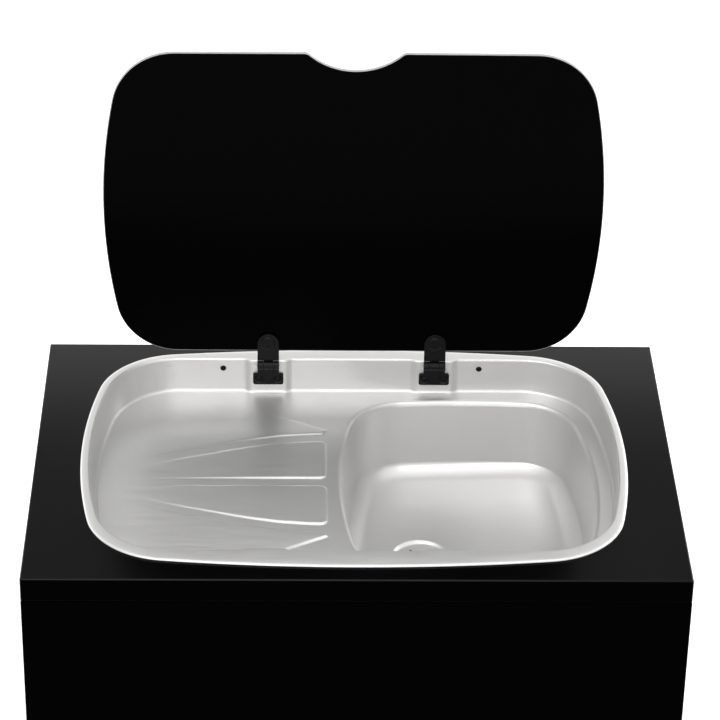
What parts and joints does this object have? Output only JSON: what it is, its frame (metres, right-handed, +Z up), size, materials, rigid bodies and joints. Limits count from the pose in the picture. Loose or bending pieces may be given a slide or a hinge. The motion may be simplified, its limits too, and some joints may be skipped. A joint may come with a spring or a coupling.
{
  "type": "slide-out camping kitchen",
  "caption": "Slide-out kitchen module: black cabinet on telescopic runners in a bolt-down tray, inset steel sink with drainer and a hinged black glass lid.",
  "frame": {"origin": "middle of the base tray's underside, where it stands on the floor", "axes": "+Z up; the front faces -Y and the cabinet slides out along -Y; +X to the right, the bowl's side"},
  "size_m": [0.7, 0.4728, 0.6157],
  "materials": {
    "black_board": "laminated board with a black satin face",
    "front_board": "laminated board, black satin",
    "carcass_board": "laminated plywood, dark grey",
    "brushed_steel": "satin stainless steel",
    "black_glass": "toughened glass, opaque black, ground edge",
    "hinge_black": "black coated metal, semi-gloss",
    "pin_steel": "bright steel",
    "zinc_steel": "zinc-plated steel",
    "rubber": "black rubber",
    "black_plastic": "moulded black plastic",
    "beech": "plain beech",
    "tray_paint": "folded steel, black powder coat"
  },
  "bodies": {
    "base": {"base_tray": "tray_paint", "runner_outer_left": "zinc_steel", "runner_outer_right": "zinc_steel", "runner_bolt_front_left": "zinc_steel", "runner_bolt_front_right": "zinc_steel", "runner_bolt_rear_left": "zinc_steel", "runner_bolt_rear_right": "zinc_steel"},
    "runner_middle": {"runner_middle_left": "zinc_steel", "runner_middle_right": "zinc_steel"},
    "cabinet": {"worktop": "black_board", "front_panel": "front_board", "side_panel_left": "carcass_board", "side_panel_right": "carcass_board", "floor_panel": "carcass_board", "rear_panel": "carcass_board", "sink_pressing": "brushed_steel", "waste_flange": "brushed_steel", "hinge_base_left": "hinge_black", "hinge_base_right": "hinge_black", "hinge_screw_left_1": "hinge_black", "hinge_screw_left_2": "hinge_black", "hinge_screw_right_1": "hinge_black", "hinge_screw_right_2": "hinge_black", "sink_screw_rear_left": "hinge_black", "sink_screw_rear_right": "hinge_black", "sink_screw_front_left": "hinge_black", "sink_screw_front_right": "hinge_black", "hinge_pin_left": "pin_steel", "hinge_pin_right": "pin_steel", "waste_screw": "pin_steel", "backing_plate_left": "zinc_steel", "backing_plate_right": "zinc_steel", "runner_inner_left": "zinc_steel", "runner_inner_right": "zinc_steel", "runner_screw_front_left": "zinc_steel", "runner_screw_front_right": "zinc_steel", "runner_screw_rear_left": "zinc_steel", "runner_screw_rear_right": "zinc_steel", "rim_seal": "rubber", "waste_gasket": "rubber", "hose_grommet": "rubber", "waste_body": "black_plastic", "waste_nut": "black_plastic", "waste_elbow": "black_plastic", "worktop_dowel_rear_left": "beech", "worktop_dowel_rear_right": "beech", "worktop_dowel_front_left": "beech", "worktop_dowel_front_right": "beech"},
    "lid": {"lid_glass": "black_glass", "lid_screw_left": "hinge_black", "lid_screw_right": "hinge_black", "hinge_leaf_left": "hinge_black", "hinge_leaf_right": "hinge_black", "hinge_gasket_left": "rubber", "hinge_gasket_right": "rubber", "hinge_clamp_left": "hinge_black", "hinge_clamp_right": "hinge_black"}
  },
  "joints": [
    {"name": "cabinet_slide", "type": "slide", "parent": "base", "child": "cabinet", "axis": [0, -1, 0], "range_m": [0, 0.38]},
    {"name": "runner_middle_slide", "type": "slide", "parent": "base", "child": "runner_middle", "axis": [0, -1, 0], "range_m": [0, 0.19]},
    {"name": "lid_hinge", "type": "hinge", "parent": "cabinet", "child": "lid", "pos_m": [0, 0.1863, 0.2296], "axis": [1, 0, 0], "range_deg": [0, 93]}
  ],
  "couplings": [
    {"joint": "runner_middle_slide", "follows": "cabinet_slide", "ratio": 0.5}
  ]
}
